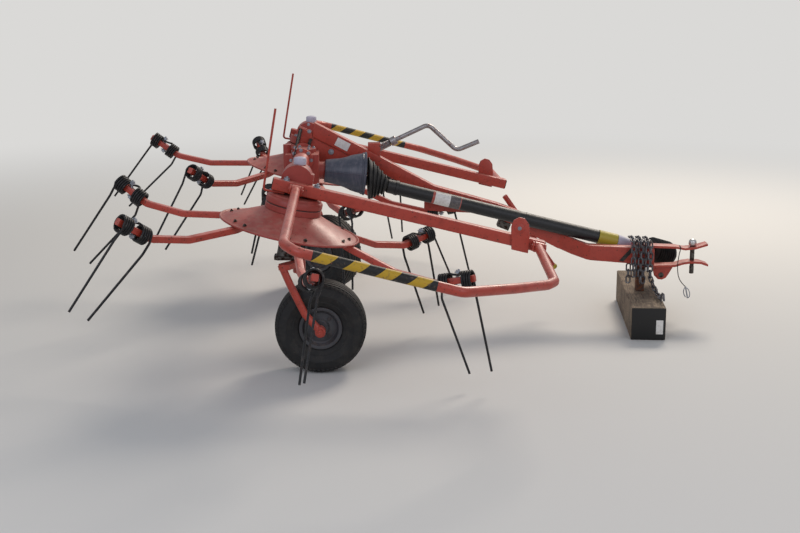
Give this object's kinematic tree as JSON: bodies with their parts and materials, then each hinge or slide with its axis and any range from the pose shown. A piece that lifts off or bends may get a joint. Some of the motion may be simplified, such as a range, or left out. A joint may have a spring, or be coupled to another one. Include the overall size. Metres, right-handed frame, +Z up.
{
  "type": "two-rotor pull-type hay tedder",
  "caption": "Pull-type hay tedder with two tined rotors on swivelling wheels, bent drawbar, guarded drive shaft and tubular side guards, drawbar end resting on a timber block.",
  "frame": {"origin": "on the floor under the middle of the machine's box, between the two rotors", "axes": "+X forward to the hitch, +Y to the machine's left, +Z up"},
  "size_m": [2.8042, 3.436, 1.0597],
  "materials": {
    "timber": "rough sawn, weathered",
    "paint": "faded satin with rust",
    "zinc": "zinc plated",
    "chain": "dull galvanised",
    "wire": "dark coated wire",
    "strap": "matte",
    "cover": "dusty",
    "rubber": "matte",
    "guard": "dusty",
    "band": "faded",
    "steel": "bare and oily",
    "cast": "painted casting",
    "rim": "satin",
    "tyre": "dusty",
    "spring": "black spring steel"
  },
  "bodies": {
    "frame": {"block": "timber", "drawbar": "paint", "drawbar_plates": "paint", "hitch_tongues": "paint", "hitch_pin": "zinc", "rest_leg": "paint", "chain": "chain", "tether": "wire", "tether_clip": "zinc", "drawbar_strap": "strap", "gear_strap": "steel", "pto_shaft": "steel", "pto_cone": "cover", "pto_bellows": "rubber", "pto_guard": "guard", "pto_bands": "band", "pto_joint": "steel", "pto_bell": "rubber", "pto_yoke": "steel", "centre_gearbox": "cast", "cross_tubes": "paint", "gear_housings": "cast", "columns": "steel", "rails": "paint", "rail_brackets": "paint", "hoop_forks": "paint", "levers": "paint", "crank_spindle": "zinc", "crank_mount": "paint", "stand_holder": "paint"},
    "rotor_near": {"hub_near": "cast", "disc_near": "paint", "arms_near": "paint", "tines_near": "spring"},
    "rotor_far": {"hub_far": "cast", "disc_far": "paint", "arms_far": "paint", "tines_far": "spring"},
    "guard_near": {"hoop_near": "paint"},
    "guard_far": {"hoop_far": "paint"},
    "swivel_near": {"leg_near": "paint"},
    "swivel_far": {"leg_far": "paint"},
    "wheel_near": {"rim_near": "rim", "tyre_near": "tyre"},
    "wheel_far": {"rim_far": "rim", "tyre_far": "tyre"},
    "stand": {"stand_tube": "paint", "stand_cap": "band"}
  },
  "joints": [
    {"name": "rotor_near_spin", "type": "hinge", "parent": "frame", "child": "rotor_near", "pos_m": [-0.449, -0.719, 0.556], "axis": [0.2011, 0, 0.9796], "continuous": true},
    {"name": "rotor_far_spin", "type": "hinge", "parent": "frame", "child": "rotor_far", "pos_m": [-0.449, 0.719, 0.556], "axis": [0.2011, 0, 0.9796], "continuous": true},
    {"name": "swivel_near_turn", "type": "hinge", "parent": "frame", "child": "swivel_near", "pos_m": [-0.407, -0.719, 0.43], "axis": [0, 0, 1], "range_deg": [-45, 45]},
    {"name": "swivel_far_turn", "type": "hinge", "parent": "frame", "child": "swivel_far", "pos_m": [-0.407, 0.719, 0.43], "axis": [0, 0, 1], "range_deg": [-10, 80]},
    {"name": "wheel_near_roll", "type": "hinge", "parent": "swivel_near", "child": "wheel_near", "pos_m": [-0.324, -0.719, 0.185], "axis": [0, 1, 0], "continuous": true},
    {"name": "wheel_far_roll", "type": "hinge", "parent": "swivel_far", "child": "wheel_far", "pos_m": [-0.33901, 0.67139, 0.185], "axis": [0.5736, 0.8192, 0], "continuous": true},
    {"name": "guard_near_fold", "type": "hinge", "parent": "frame", "child": "guard_near", "pos_m": [-0.412, -0.806, 0.74677], "axis": [-0.9714, 0, 0.2373], "range_deg": [0, 100]},
    {"name": "guard_far_fold", "type": "hinge", "parent": "frame", "child": "guard_far", "pos_m": [-0.412, 0.806, 0.74677], "axis": [0.9714, 0, -0.2373], "range_deg": [0, 100]},
    {"name": "stand_slide", "type": "slide", "parent": "frame", "child": "stand", "axis": [0.5734, 0, -0.8193], "range_m": [0, 0.1]}
  ],
  "couplings": [
    {"joint": "rotor_far_spin", "follows": "rotor_near_spin", "ratio": -1}
  ]
}
